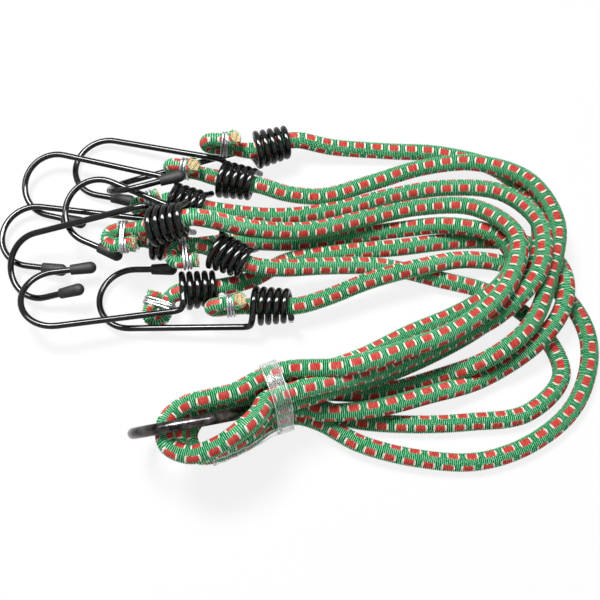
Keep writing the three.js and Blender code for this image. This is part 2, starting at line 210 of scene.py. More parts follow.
# %% A socket that does sums
class Value:
    """One output socket, on which Python's operators add Math nodes."""

    def __init__(self, nodes, socket):
        self.nodes = nodes
        self.socket = socket

    def maths(self, operation, *others):
        return self.nodes.node("ShaderNodeMath", {"operation": operation}, dict(enumerate((self, *others))))

    def __add__(self, other):
        return self.maths("ADD", other)

    def __sub__(self, other):
        return self.maths("SUBTRACT", other)

    def __mul__(self, other):
        return self.maths("MULTIPLY", other)

    def __truediv__(self, other):
        return self.maths("DIVIDE", other)

    def __rsub__(self, other):
        return (self * -1).maths("ADD", other)

    __radd__ = __add__
    __rmul__ = __mul__

    def whole(self):
        return self.maths("FLOOR")

    def part(self):
        return self.maths("FRACT")

    def size(self):
        return self.maths("ABSOLUTE")

    def cosine(self):
        return self.maths("COSINE")

    def power(self, exponent):
        return self.maths("POWER", exponent)

    def larger(self, other):
        return self.maths("MAXIMUM", other)

    def ramp(self, low, high):
        """0 below low, 1 above high and a smooth step between them."""
        links = {"Value": self, "From Min": low, "From Max": high}
        return self.nodes.node("ShaderNodeMapRange", {"interpolation_type": "SMOOTHSTEP"}, links)


# %% A colour for a shader
def srgb(red, green, blue):
    """A colour as screens show it, 0 to 255, as the linear colour that a shader takes."""
    shares = [channel / 255 for channel in (red, green, blue)]
    return (*[s / 12.92 if s <= 0.04045 else ((s + 0.055) / 1.055) ** 2.4 for s in shares], 1)


# %% A node tree that grows by calls
class Nodes:
    """A node tree, with one method that adds any node."""

    def __init__(self, tree):
        self.tree = tree

    def node(self, kind, settings=None, links=None, output=0):
        made = self.tree.nodes.new(kind)
        for name, value in (settings or {}).items():
            setattr(made, name, value)
        for name, value in (links or {}).items():
            if isinstance(value, Value):
                self.tree.links.new(value.socket, made.inputs[name])
            else:
                made.inputs[name].default_value = value
        return Value(self, made.outputs[output])


# %% A material and its patterns
class Finish(Nodes):
    """A Principled material and the patterns that it is made of."""

    def __init__(self, name, **plain):
        self.material = bpy.data.materials.new(name)
        self.material.use_nodes = True
        super().__init__(self.material.node_tree)
        self.shader = self.tree.nodes["Principled BSDF"]
        for socket, value in plain.items():
            self.shader.inputs[socket.replace("_", " ").title().replace("Ior", "IOR")].default_value = value

    def feed(self, socket, value):
        self.tree.links.new(value.socket, self.shader.inputs[socket])

    def mix(self, share, first, second):
        """The first colour where share is 0 and the second where it is 1."""
        links = {"Factor": share, 6: first, 7: second}
        return self.node("ShaderNodeMix", {"data_type": "RGBA", "clamp_factor": True}, links, 2)

    def place(self):
        """Object coordinates, in metres."""
        return self.node("ShaderNodeTexCoord", output="Object")

    def noise(self, size, detail):
        """Clouds whose lumps are about this size, in metres, with a mean near a half."""
        links = {"Vector": self.place(), "Scale": 1 / size, "Detail": detail}
        return self.node("ShaderNodeTexNoise", {}, links)

    def bump(self, height, depth):
        """Feeds the Normal with a height from 0 to 1 that stands for a depth in metres."""
        links = {"Height": height, "Distance": depth, "Strength": 1.0}
        self.feed("Normal", self.node("ShaderNodeBump", {}, links))

    def tell(self):
        print(self.material.name, "has", len(self.tree.nodes), "nodes")


# %% [markdown]
# The cover is woven from fine silky threads. They show as ribs that run across the cord every 0.8 mm, in a
# green ground with four rows of red blocks. Each block is about 4 mm long, with a white tick on either
# side, and each row stands a quarter of a pitch behind its neighbour. The pattern follows the cord, so it is
# worked out from the tube's own UV map: metres along, and turns round. An image would blur at this scale.
# The ribs are real rings of the tube, so the pattern keeps step with them: in the groove between two ribs
# the green and the white get a painted shade, and the red is paler.

# %% Ribs and threads of the cover
rib_pitch = 0.8 * mm
threads_round = 30

cover = Finish("woven_cover", specular_ior_level=0.12)
chart = cover.node("ShaderNodeUVMap", {"uv_map": "cover"})
along = cover.node("ShaderNodeSeparateXYZ", {}, {"Vector": chart}, "X")
turns = cover.node("ShaderNodeSeparateXYZ", {}, {"Vector": chart}, "Y")

rib_place = along / rib_pitch
rib = rib_place.whole()
rib_parity = (rib * 0.5).part() * 2
rib_height = 0.5 - 0.5 * (rib_place * (2 * math.pi)).cosine()
thread_phase = turns * (threads_round * 2 * math.pi) + rib_parity * math.pi
thread_height = 0.5 + 0.5 * thread_phase.cosine()
print(f"a rib every {rib_pitch / mm:.1f} mm, with {threads_round} threads round the cord")

# %% Rows of blocks and ticks
ribs_in_pitch = 10
block_pitch = ribs_in_pitch * rib_pitch
block_length = 4.1 * mm
block_blur = 0.08 * mm
tick_length = 0.8 * mm
tick_blur = 0.1 * mm
pinch_depth = 0.14 * mm
row_count = 4
row_half_share = 0.265
row_blur_share = 0.02
row_stagger_share = 0.06

row_place = turns * row_count
row = row_place.whole()
off_row = (row_place.part() - 0.5).size() + (rib_parity - 0.5) * row_stagger_share
in_row = 1 - off_row.ramp(row_half_share - row_blur_share, row_half_share + row_blur_share)
block_place = (along / block_pitch + row / row_count).part()
off_block = (block_place - 0.5).size() * block_pitch
pinch = (off_row / row_half_share).power(2) * pinch_depth


def marked(reach, drawn_in, blur):
    """1 in a row, within this reach of a block's middle, with corners drawn in and a soft edge."""
    return in_row * (1 - (off_block + drawn_in).ramp(reach - blur, reach + blur))


block_end = block_length / 2
tick_end = block_end + tick_length
red_share = marked(block_end, pinch, block_blur)
tick_share = marked(tick_end, pinch * 2, tick_blur)
print(f"a red block every {block_pitch / mm:.0f} mm in each of {row_count} rows")

# %% [markdown]
# Silk shines in flecks, and the sheen is painted: by chance the green goes from deep to light, more so
# between two blocks, where the bulge of the threads is painted lighter and the dip beside the ticks is
# painted shade.
# Chance comes from a white noise that gets one number for each rib and column of the weave.

# %% Painted sheen and shade, and colour of the cover
cover_green = srgb(0, 170, 90)
# painted sheen: a lighter green where the silk catches the light
painted_sheen_green = srgb(140, 232, 178)
# painted shade: a darker green where the threads dip beside the ticks
painted_tick_shade_green = srgb(0, 94, 50)
# painted shade in the grooves between the ribs of the green
painted_groove_shade_green = srgb(0, 46, 25)
cover_red = srgb(200, 30, 40)
# painted sheen on the red blocks
painted_sheen_red = srgb(246, 116, 110)
red_shade = srgb(206, 140, 104)
cover_white = srgb(252, 252, 240)
# painted shade in the grooves of the white ticks
painted_groove_shade_white = srgb(176, 190, 156)
sheen_cloud_size = 3 * mm
fleck_size = 0.3 * mm
thread_relief = 0.1 * mm
luck_columns = 14
luck_stride = 31

# a slow cloud that varies the painted sheen
sheen_cloud = cover.noise(sheen_cloud_size, 3)
column = (turns * luck_columns + rib_parity * 0.5).whole()
luck = cover.node("ShaderNodeTexWhiteNoise", {"noise_dimensions": "1D"}, {"W": rib + column * luck_stride})
fleck = cover.noise(fleck_size, 1)
# painted light and shade of the threads' bulge: lighter between two blocks, darker beside the ticks
painted_bulge_shading = 1 - in_row + in_row * ((off_block - tick_end) / (block_pitch / 2 - tick_end)).ramp(0, 1)
# painted sheen, lighter on rib crests, in flecks and by chance
painted_sheen = (rib_height * 0.8 + fleck * 0.5 + luck * 0.6 + thread_height * 0.2 + sheen_cloud * 0.2 - 0.4).ramp(0.5, 1.1)
# mask of the grooves: painted shade in the green and the white, paler in the red
groove = (1 - rib_height.ramp(0.1, 0.8)) * (0.6 + 0.4 * luck)

# the green gets painted shade beside the ticks and a painted sheen, the red a painted sheen
green = cover.mix(painted_bulge_shading * 0.75 + 0.25, painted_tick_shade_green, cover_green)
green = cover.mix(painted_sheen * (painted_bulge_shading * 0.7 + 0.3), green, painted_sheen_green)
# painted shade in the grooves of the green and the white
green = cover.mix(groove, green, painted_groove_shade_green)
white = cover.mix(groove * 0.45, cover_white, painted_groove_shade_white)
red = cover.mix(painted_sheen * 0.4, cover_red, painted_sheen_red)
red = cover.mix(groove * 0.42, red, red_shade)
cover.feed("Base Color", cover.mix(red_share, cover.mix(tick_share, green, white), red))
cover.feed("Roughness", 0.56 - painted_sheen * 0.16)
cover.bump(thread_height * 0.4 + fleck * 0.6, thread_relief)
cover.tell()

# %% [markdown]
# The hooks are steel wire in a glossy black coat. A glossy black thing is drawn by its reflections, so the
# coat gets a low roughness with faint waves, and a little wear that dulls it. The caps on the hooks' tips
# are dipped vinyl, which is dull and slightly mottled.

# %% Black coat
smear_size = 9 * mm
scuff_size = 0.5 * mm
coat_relief = 0.03 * mm
coat_black = srgb(6, 6, 7)
coat_worn = srgb(16, 16, 18)

black_coat = Finish("black_coat", specular_ior_level=0.28)
smear = black_coat.noise(smear_size, 3)
scuff = black_coat.noise(scuff_size, 2)
black_coat.feed("Base Color", black_coat.mix(smear.ramp(0.3, 0.8), coat_black, coat_worn))
black_coat.feed("Roughness", 0.07 + smear * 0.08 + scuff.ramp(0.6, 0.75) * 0.1)
black_coat.bump(smear * 0.7 + scuff * 0.3, coat_relief)
black_coat.tell()

# %% Dipped vinyl
mottle_size = 1.6 * mm
grain_size = 0.25 * mm
vinyl_relief = 0.12 * mm
vinyl_dark = srgb(22, 22, 23)
vinyl_pale = srgb(44, 44, 46)

vinyl = Finish("dipped_vinyl", specular_ior_level=0.2)
mottle = vinyl.noise(mottle_size, 4)
grain = vinyl.noise(grain_size, 1)
vinyl.feed("Base Color", vinyl.mix(mottle.ramp(0.3, 0.75), vinyl_dark, vinyl_pale))
vinyl.feed("Roughness", 0.48 + mottle * 0.25)
vinyl.bump(mottle * 0.5 + grain * 0.5, vinyl_relief)
vinyl.tell()

# %% [markdown]
# Two bare metals follow: the mottled bright wire of the clips and the dark, cloudy steel of the ring. Both
# are fully metallic, so their base colour tints what they mirror.

# %% Bright wire
drawn_size = 0.6 * mm
wire_relief = 0.06 * mm
wire_dark = srgb(92, 95, 100)
wire_bright = srgb(206, 209, 212)

bright_wire = Finish("bright_wire", metallic=1.0)
drawn = bright_wire.noise(drawn_size, 2)
bright_wire.feed("Base Color", bright_wire.mix(drawn.ramp(0.3, 0.7), wire_dark, wire_bright))
bright_wire.feed("Roughness", 0.3 + drawn * 0.16)
bright_wire.bump(drawn, wire_relief)
bright_wire.tell()

# %% Dark steel
cloud_size = 5 * mm
pit_size = 0.4 * mm
steel_relief = 0.06 * mm
steel_dark = srgb(28, 27, 28)
steel_pale = srgb(90, 86, 84)

dark_steel = Finish("dark_steel", metallic=1.0)
cloud = dark_steel.noise(cloud_size, 4)
pit = dark_steel.noise(pit_size, 2)
dark_steel.feed("Base Color", dark_steel.mix(cloud.ramp(0.35, 0.7), steel_dark, steel_pale))
dark_steel.feed("Roughness", 0.14 + cloud * 0.16 + pit.ramp(0.6, 0.8) * 0.15)
dark_steel.bump(cloud * 0.5 + pit * 0.5, steel_relief)
dark_steel.tell()

# %% [markdown]
# The rubber core is a bundle of square-cut strands, paler where they were sliced. The band is clear film: it
# shows by its edges and glints, so its alpha rises where the film turns away from the eye, which paints a
# pale reflection along its edges. The rims of the film are painted white as a glint, so they have a finish
# of their own.

# %% Rubber core
blotch_size = 1.1 * mm
speck_size = 0.2 * mm
rubber_relief = 0.1 * mm
rubber_amber = srgb(232, 206, 146)
rubber_pale = srgb(252, 238, 198)

rubber = Finish("rubber_core", roughness=0.7, specular_ior_level=0.3)
blotch = rubber.noise(blotch_size, 3)
speck = rubber.noise(speck_size, 1)
rubber.feed("Base Color", rubber.mix(blotch.ramp(0.3, 0.7), rubber_amber, rubber_pale))
rubber.bump(blotch * 0.5 + speck * 0.5, rubber_relief)
rubber.tell()

# %% Clear film, and the painted glint of its rim
crease_size = 5 * mm
film_relief = 0.2 * mm
film_grey = srgb(240, 245, 246)
painted_rim_glint = srgb(246, 250, 250)

film = Finish("clear_film", base_color=film_grey, roughness=0.15, specular_ior_level=0.7)
turned = film.node("ShaderNodeLayerWeight", {}, {"Blend": 0.5}, "Facing")
crease = film.noise(crease_size, 1)
# the alpha rises at grazing angles, a painted reflection on the film's edges; creases add pale patches
film.feed("Alpha", 0.05 + turned.power(3) * 0.5 + crease.ramp(0.6, 0.75) * 0.15)
film.bump(crease, film_relief)
film.tell()

# the rims are painted white: a painted glint
film_rim_glint = Finish("film_rim_glint", base_color=painted_rim_glint, roughness=0.3, specular_ior_level=0.7, alpha=0.75)

# %% [markdown]
# Nearly everything here is round stock on a bent line: cord, wire, clips. First the line is made smooth. A
# Catmull-Rom curve goes through each chosen point, and its centripetal form makes no loops where points lie
# close together.


# %% A smooth line through points
def centripetal(points, steps):
    """A centripetal Catmull-Rom curve through the points, with this many steps to each span."""
    ends = [points[0] * 2 - points[1], *points, points[-1] * 2 - points[-2]]
    line = [points[0]]
    for p0, p1, p2, p3 in zip(ends, ends[1:], ends[2:], ends[3:]):
        d0, d1, d2 = (math.sqrt((b - a).length) for a, b in ((p0, p1), (p1, p2), (p2, p3)))
        lead = ((p1 - p0) / d0 - (p2 - p0) / (d0 + d1) + (p2 - p1) / d1) * d1
        trail = ((p2 - p1) / d1 - (p3 - p1) / (d1 + d2) + (p3 - p2) / d2) * d1
        for step in range(1, steps + 1):
            t = step / steps
            cubic = (p1 - p2) * 2 + lead + trail
            square = (p2 - p1) * 3 - lead * 2 - trail
            line.append(p1 + lead * t + square * t**2 + cubic * t**3)
    return line


# %% [markdown]
# A tube could be extruded ring by ring, but a cord has two thousand rings, and each extrusion goes through
# the whole mesh again. One helper rolls up a flat grid instead: one side of the grid runs along the line and
# the other goes round it. The turn is carried from ring to ring, so that a pattern never twists by itself.
# The grid gives the UV map before its long sides are merged.


# %% Directions carried along a line
def carried_places(line, radii):
    """A matrix at each point: Z follows the line, the scale is the radius, and the turn is carried on."""
    ahead = [(after - before).normalized() for before, after in zip(line, line[1:])]
    tangents = [ahead[0], *[(a + b).normalized() for a, b in zip(ahead, ahead[1:])], ahead[-1]]
    turn = tangents[0].to_track_quat("Z", "Y")
    places = []
    last = tangents[0]
    for point, tangent, radius in zip(line, tangents, radii):
        turn = last.rotation_difference(tangent) @ turn
        places.append(Matrix.LocRotScale(point, turn.normalized(), Vector((radius, radius, radius))))
        last = tangent
    return places


# %% A rolled tube
seam_gap = 0.001 * mm


def close_up(shape, gap):
    """Merges what lies this near together, fills open ends and turns the faces outwards."""
    bmesh.ops.remove_doubles(shape, verts=shape.verts, dist=gap)
    bmesh.ops.holes_fill(shape, edges=shape.edges, sides=0)
    bmesh.ops.recalc_face_normals(shape, faces=shape.faces)


def tube(line, radii, sides, chart_name="wire", twist=0, start=0, stride=0):
    """A closed tube on a line, with a UV map in metres along and turns round, twisted by these turns.

    A stride counts the metres from ring to ring, so that a pattern keeps step with the rings.
    """
    rolled = bmesh.new()
    laid = rolled.loops.layers.uv.new(chart_name)
    spans = len(line) - 1
    bmesh.ops.create_grid(rolled, x_segments=spans, y_segments=sides, size=1)
    reached = [0]
    for before, after in zip(line, line[1:]):
        reached.append(reached[-1] + (stride or (after - before).length))
    rows = {vert: (round((vert.co.x + 1) / 2 * spans), (vert.co.y + 1) / 2) for vert in rolled.verts}
    for face in rolled.faces:
        for loop in face.loops:
            row, share = rows[loop.vert]
            loop[laid].uv = (reached[row], share + start + twist * row / spans)
    places = carried_places(line, radii)
    for vert, (row, share) in rows.items():
        angle = 2 * math.pi * share
        vert.co = places[row] @ Vector((math.cos(angle), math.sin(angle), 0))
    close_up(rolled, seam_gap)
    return rolled


# %% A finished piece
def add_piece(name, shape, finish, body, slot, *nodes, sharp=40):
    """Makes an object of a shape, gives it its finish, and hands it to the body that it rides on."""
    mesh = bpy.data.meshes.new(name)
    shape.to_mesh(mesh)
    shape.free()
    mesh.materials.append(finish.material)
    mesh.shade_smooth()
    mesh.set_sharp_from_angle(angle=math.radians(sharp))
    piece = bpy.data.objects.new(name, mesh)
    link(piece)
    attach(piece, body)
    if nodes:
        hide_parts(*nodes)
    return piece


# %% [markdown]
# Each hook and each knob has its own set of directions. For a hook they run along the coil's axis, across
# from the shank to the tip leg, and square to both. For a knob they run from the clip to the fold, and from
# the first leg of the folded cord to the second. A matrix holds each set, so that a piece can be described
# once and placed eight times.


# %% Directions of a hook and of a knob
def place_of(origin, along_it, across_it):
    """A matrix whose X runs along, whose Y runs across and whose Z is square to both."""
    turn = Matrix((along_it, across_it, along_it.cross(across_it))).transposed()
    return to_origin @ Matrix.Translation(origin) @ turn.to_4x4()


def hook_place(arm):
    """The directions of an arm's hook, from the mouth of its coil."""
    heading, pitch, roll = (math.radians(angle) for angle in arm["hook"])
    level = Vector((-math.sin(heading), math.cos(heading), 0))
    run = math.cos(pitch)
    along_it = Vector((run * math.cos(heading), run * math.sin(heading), math.sin(pitch)))
    across_it = level * math.cos(roll) + along_it.cross(level) * math.sin(roll)
    return place_of(Vector(arm["mouth"]), along_it, across_it)


def knob_place(arm):
    """The directions of an arm's knob, from the middle of its clip on the first leg."""
    clip = Vector(arm["clip"])
    along_it = (Vector(arm["fold"]) - clip).normalized()
    level = Vector((0, 0, 1)).cross(along_it).normalized()
    lean = math.radians(arm["lean"])
    across_it = level * math.cos(lean) + along_it.cross(level) * math.sin(lean)
    return place_of(clip, along_it, across_it)


# %% [markdown]
# A cord is one tube from cut end to cut end. Its end is folded back on itself: a cut tail, a tight half turn
# and a first leg, pinched under the clip and swollen on either side of it. On three arms the clip turns the
# cut end up, away from the first leg. From the mouth of the coil on, the cord has its full width.

# %% Cut tail of a cord
pinched = squeezed_diameter / 2
swell_share = 0.96
swollen = fold_radius * swell_share
flare_share = 1.06
upturned_ends = (1, 2, 8)
upturn_share = 0.68
upturn_bend_shares = (0.62, 0.12)


def tail_points(number):
    """Places along and across the knob, with radii, from the cut end to the clip."""
    width = 2 * fold_radius
    if number in upturned_ends:
        back, out = upturn_bend_shares
        cut = (-tail_length, width + tail_length * upturn_share)
        bent = (-tail_length * back, width + tail_length * out)
    else:
        cut = (-tail_length, width)
        bent = (-tail_length / 2, width)
    return [(cut, swollen * flare_share), (bent, swollen), ((0, width), pinched)]


# %% Cord ends
fold_swell_share = 1.03
folded = pinched * fold_swell_share
fold_steps = 4


def end_points(number):
    """Points and radii of a cord end, from its cut end to the place where it leaves the coil."""
    arm = arms[number]
    knob = knob_place(arm)
    hook = hook_place(arm)
    turn_place = (Vector(arm["fold"]) - Vector(arm["clip"])).length - fold_radius
    local = tail_points(number)
    for step in range(fold_steps + 1):
        angle = math.pi * step / fold_steps
        place = (turn_place + fold_radius * math.sin(angle), fold_radius * (1 + math.cos(angle)))
        local.append((place, folded))
    local += [((0, 0), pinched), ((-tail_length, 0), swollen)]
    points = [(knob @ Vector((x, y, 0)), radius) for (x, y), radius in local]
    points += [(hook @ Vector((x, 0, 0)), cord_radius) for x in (0, -exit_length / 2, -exit_length)]
    return points


# %% [markdown]
# The free run goes through the same points as the CAD cord, so it lies in the same place. The tube gets a
# ring in every groove and on every rib of the cover, which roughens its outline as the real threads do.

# %% The line of a whole cord
span_steps = 8


def cord_line(cord):
    """The smooth line of a whole cord, with its radius at each point."""
    first, second = (end_points(number) for number in cord["ends"])
    route = [(to_origin @ Vector(point), cord_radius) for point in cord["route"]]
    stations = [*first, *route, *reversed(second)]
    line = centripetal([point for point, radius in stations], span_steps)
    radii = [stations[0][1]]
    for (_, before), (_, after) in zip(stations, stations[1:]):
        for step in range(1, span_steps + 1):
            blend = step / span_steps
            radii.append(before + (after - before) * blend * blend * (3 - 2 * blend))
    return line, radii


# %% Ribs on a line
rib_rise = 0.04 * mm
groove_depth = 0.36 * mm
ring_stride = rib_pitch / 2


def ribbed(line, radii):
    """The same line with a point in each groove and on each rib, and the radius there."""
    points = [line[0]]
    widths = [radii[0] - groove_depth]
    ahead = ring_stride
    on_rib = True
    for before, after, narrow, wide in zip(line, line[1:], radii, radii[1:]):
        span = (after - before).length
        while ahead <= span:
            share = ahead / span
            points.append(before.lerp(after, share))
            widths.append(narrow + (wide - narrow) * share + (rib_rise if on_rib else -groove_depth))
            on_rib = not on_rib
            ahead += ring_stride
        ahead -= span
    return points, widths


# %% Covers
cover_sides = 24
cord_twists = {"a": (0.9, 0.12), "b": (-0.7, 0.55), "c": (0.8, 0.3), "d": (-0.9, 0.8)}

for name, cord in cords.items():
    line, radii = ribbed(*cord_line(cord))
    twist, start = cord_twists[name]
    shape = tube(line, radii, cover_sides, "cover", twist, start, ring_stride)
    piece = add_piece(f"cover_{name}", shape, cover, "cords", "cord_cover", f"cord_{name}", sharp=80)
    length = sum((after - before).length for before, after in zip(line, line[1:]))
    print(f"cord {name}: {length / mm:.0f} mm from cut end to cut end, {len(line)} rings")

# %% [markdown]
# At a cut end the rubber shows: a bundle of strands, each sliced off at a slightly different height. A
# strand is one small prism with a bevelled rim, and the bundle is a hexagon of them. Round it the cover's
# cut threads stand up in a short fringe, which takes its colours from the cover's pattern. Both are
# described in the cut end's own directions, whose Z points out of the end.


# %% Directions of a cut end, and unevenness
def cut_end_place(number):
    """A matrix at the middle of a cut end, whose Z points out of it."""
    knob = knob_place(arms[number])
    cut, bent = (Vector((x, y, 0)) for (x, y), radius in tail_points(number)[:2])
    turn = (knob.to_3x3() @ (cut - bent)).to_track_quat("Z", "Y")
    return Matrix.LocRotScale(knob @ cut, turn, None)


def uneven(index, number, index_pace, number_pace):
    """A number from -1 to 1 that looks random from piece to piece and is the same in each run."""
    return math.sin(index * index_pace + number * number_pace)


# %% A bundle of strands
core_diameter = 5 * mm
strand_rings = 3
strand_width = core_diameter / (2 * strand_rings + 1)
strand_pitch = strand_width * 1.2


def bundle_places():
    """Centres of a hexagonal bundle of strands, as places across the core."""
    places = []
    for row_number in range(-strand_rings, strand_rings + 1):
        count = 2 * strand_rings + 1 - abs(row_number)
        for column_number in range(count):
            x = (column_number - (count - 1) / 2) * strand_pitch
            places.append((x, row_number * strand_pitch * math.sqrt(3) / 2))
    return places


print("strands in a core", len(bundle_places()))

# %% A cut core
core_showing = 1 * mm
core_depth = 1.6 * mm
strand_radius = strand_width * 0.6
strand_bevel = strand_width * 0.14


def cut_core(number):
    """The strands of one cut core, from just inside the cover to just past it."""
    bundle = bmesh.new()
    place = cut_end_place(number)
    for index, (x, y) in enumerate(bundle_places()):
        chance = uneven(index, number, 12.9, 7.3)
        showing = core_showing * (0.7 + 0.3 * chance)
        middle = Matrix.Translation((x, y, (showing - core_depth) / 2)) @ Matrix.Rotation(chance, 4, "Z")
        made = bmesh.ops.create_cone(
            bundle, cap_ends=True, segments=6, radius1=strand_radius, radius2=strand_radius,
            depth=core_depth + showing, matrix=place @ middle,
        )
        faces = {face for vert in made["verts"] for face in vert.link_faces if len(face.verts) == 6}
        rims = [edge for face in faces for edge in face.edges]
        bmesh.ops.bevel(
            bundle, geom=rims, offset=strand_bevel, offset_type="OFFSET", segments=1, profile=0.5,
            affect="EDGES", material=-1,
        )
    return bundle


# %% A fringe of cut threads
fringe_count = 44
fringe_ribs = 3
fringe_inset = 0.2 * mm
fringe_depth = 0.4 * mm
thread_reach = 0.9 * mm
thread_root_radius = 0.26 * mm
thread_tip_radius = 0.12 * mm


def fringe(number):
    """Short tapered threads that stand round a cut end, each in one colour of the cover's pattern."""
    tuft = bmesh.new()
    laid = tuft.loops.layers.uv.new("cover")
    place = cut_end_place(number)
    for index in range(fringe_count):
        turn = 2 * math.pi * index / fringe_count
        out = Vector((math.cos(turn), math.sin(turn), 0))
        root = out * (swollen - fringe_inset) + Vector((0, 0, -fringe_depth))
        lean = out * (0.3 + 0.35 * uneven(index, number, 7.7, 3.1)) + Vector((0, 0, 1))
        reach = thread_reach * (1 + 0.4 * uneven(index, number, 3.3, 1))
        stand = Matrix.LocRotScale(root, lean.to_track_quat("Z", "X"), None)
        made = bmesh.ops.create_cone(
            tuft, cap_ends=True, segments=4, radius1=thread_root_radius, radius2=thread_tip_radius,
            depth=reach * 2, matrix=place @ stand,
        )
        faces = {face for vert in made["verts"] for face in vert.link_faces}
        for face in faces:
            for loop in face.loops:
                loop[laid].uv = ((index % fringe_ribs + 0.5) * rib_pitch, index / fringe_count)
    return tuft


# %% Cut cores and frayed rims
for number in arms:
    core = cut_core(number)
    add_piece(f"cut_core_{number}", core, rubber, "cords", "rubber_core", f"core_end_{number}")
    add_piece(f"frayed_rim_{number}", fringe(number), cover, "cords", "cord_cover")
print("cut ends", len(arms))

# %% [markdown]
# A hook is one piece of wire: five turns of a conical coil that narrows to where the cord leaves it, a knee,
# a straight shank, a half-round bend and a short tip leg. The line is written once in a hook's own
# directions, as its coil and what follows it, and swept eight times.

# %% Coil of a hook
turn_steps = 8
coil_play = 0.5 * mm
coil_big_radius = 7.6 * mm
coil_small_radius = (cord_radius + coil_play + wire_radius) / math.cos(math.pi / turn_steps)


def coil_points():
    """Points of the conical coil, from its narrow end to its mouth."""
    points = []
    coil_steps = coil_turns * turn_steps
    for step in range(coil_steps):
        share = step / coil_steps
        angle = 2 * math.pi * coil_turns * (share - 1)
        radius = coil_small_radius + (coil_big_radius - coil_small_radius) * share
        points.append((coil_length * (share - 1), -radius * math.cos(angle), radius * math.sin(angle)))
    return points


print(f"coil radius from {coil_small_radius / mm:.1f} to {coil_big_radius / mm:.1f} mm")

# %% Knee, shank, bend and tip leg of a hook
knee_radius = 4 * mm
shank_offset = 10 * mm
shank_length = 54 * mm
bend_radius = 14.5 * mm
bend_steps = 16
tip_length = 19 * mm
tip_side = 2 * bend_radius - shank_offset
cap_foot = shank_length - tip_length
cap_length = 11.5 * mm
cap_bore_depth = 9 * mm


def leg_points():
    """Points from the knee, down the shank and round the bend, to the tip inside its cap."""
    knee_angle = math.asin(knee_radius / shank_offset)
    points = [(0, -shank_offset * math.cos(knee_angle), -knee_radius)]
    for angle in (math.pi / 4, math.pi / 2):
        ahead = knee_radius * (1 - math.cos(angle))
        points.append((ahead, -shank_offset, knee_radius * (math.sin(angle) - 1)))
    points.append((knee_radius + hook_wire, -shank_offset, 0))
    points.append((shank_length - hook_wire, -shank_offset, 0))
    for step in range(bend_steps + 1):
        angle = math.pi * step / bend_steps
        side = bend_radius * (1 - math.cos(angle)) - shank_offset
        points.append((shank_length + bend_radius * math.sin(angle), side, 0))
    points.append((shank_length - hook_wire, tip_side, 0))
    points.append((cap_foot + cap_length - cap_bore_depth + part_gap, tip_side, 0))
    return points


# %% Wire hooks
wire_sides = 16
wire_steps = 4
hook_points = [*coil_points(), *leg_points()]

for number, arm in arms.items():
    place = hook_place(arm)
    points = [place @ Vector(point) for point in hook_points]
    line = centripetal([points[0] * 2 - points[1], *points], wire_steps)
    shape = tube(line, [wire_radius] * len(line), wire_sides)
    add_piece(f"black_hook_{number}", shape, black_coat, f"hook_{number}", "hook_wire", f"hook_{number}")
print("hooks", len(arms), "with", len(line), "rings each")

# %% [markdown]
# A tip cap is made by dipping, so it is a thin sleeve at its mouth and fat and round at its end. Its outline
# is a few vertices that are spun once round the tip leg.

# %% Outline of a tip cap
cap_mouth_diameter = 4.6 * mm
cap_end_diameter = 5.4 * mm
cap_lip = 0.2 * mm
cap_lip_length = 0.3 * mm
cap_mouth_radius = cap_mouth_diameter / 2
cap_end_radius = cap_end_diameter / 2
cap_body_radius = cap_end_radius * 0.94
cap_body_place = cap_length * 0.55
cap_round_steps = 6

cap_outline = [
    (cap_length, wire_radius), (cap_length, cap_mouth_radius - cap_lip),
    (cap_length - cap_lip_length, cap_mouth_radius), (cap_body_place, cap_body_radius),
]
for step in range(cap_round_steps + 1):
    angle = math.pi / 2 * step / cap_round_steps
    cap_outline.append((cap_end_radius * (1 - math.sin(angle)), cap_end_radius * math.cos(angle)))
print("points in a cap's outline", len(cap_outline))

# %% Vinyl tip caps
cap_spin_steps = 24
merge_gap = 0.01 * mm


def tip_cap(place):
    """A cap spun round the tip leg of the hook with this place."""
    cap = bmesh.new()
    verts = [cap.verts.new((cap_foot + x, tip_side + radius, 0)) for x, radius in cap_outline]
    edges = [cap.edges.new(pair) for pair in zip(verts, verts[1:])]
    bmesh.ops.spin(
        cap, geom=verts + edges, cent=(0, tip_side, 0), axis=(1, 0, 0), angle=2 * math.pi,
        steps=cap_spin_steps, use_merge=True,
    )
    close_up(cap, merge_gap)
    bmesh.ops.transform(cap, matrix=place, verts=cap.verts)
    return cap


for number, arm in arms.items():
    shape = tip_cap(hook_place(arm))
    add_piece(f"vinyl_cap_{number}", shape, vinyl, f"hook_{number}", "tip_vinyl", f"tip_cap_{number}")
print("caps", len(arms))

# %% [markdown]
# Each clip is soft bright wire, wound three times round both legs of the knob and pulled tight. One turn is
# a stretched round: half a turn about one leg, straight across, and half a turn about the other. The turns
# lie a little unevenly, as a hand pulls them.

# %% Line of a wire clip
clip_wire = 1.1 * mm
clip_windings = 3
clip_spread = 1.25 * mm
clip_sway = 0.2 * mm
clip_round = pinched + clip_wire * 0.4
clip_steps = 9
clip_smoothing = 2


def clip_line(number):
    """The line of one clip, with its windings drawn into the cord."""
    knob = knob_place(arms[number])
    points = []
    for winding in range(clip_windings):
        for leg in range(2):
            for step in range(clip_steps):
                share = (leg * clip_steps + step) / (2 * clip_steps)
                sway = clip_sway * math.sin(2.3 * winding + 1.7 * number + math.pi * leg)
                x = clip_spread * (winding + share - clip_windings / 2) + sway
                angle = math.pi * (step / (clip_steps - 1) + leg)
                y = (1 - leg) * 2 * fold_radius + clip_round * math.sin(angle)
                points.append(knob @ Vector((x, y, clip_round * math.cos(angle))))
    return centripetal(points, clip_smoothing)


# %% Wire clips
clip_radius = clip_wire * 0.9 / 2
clip_sides = 10

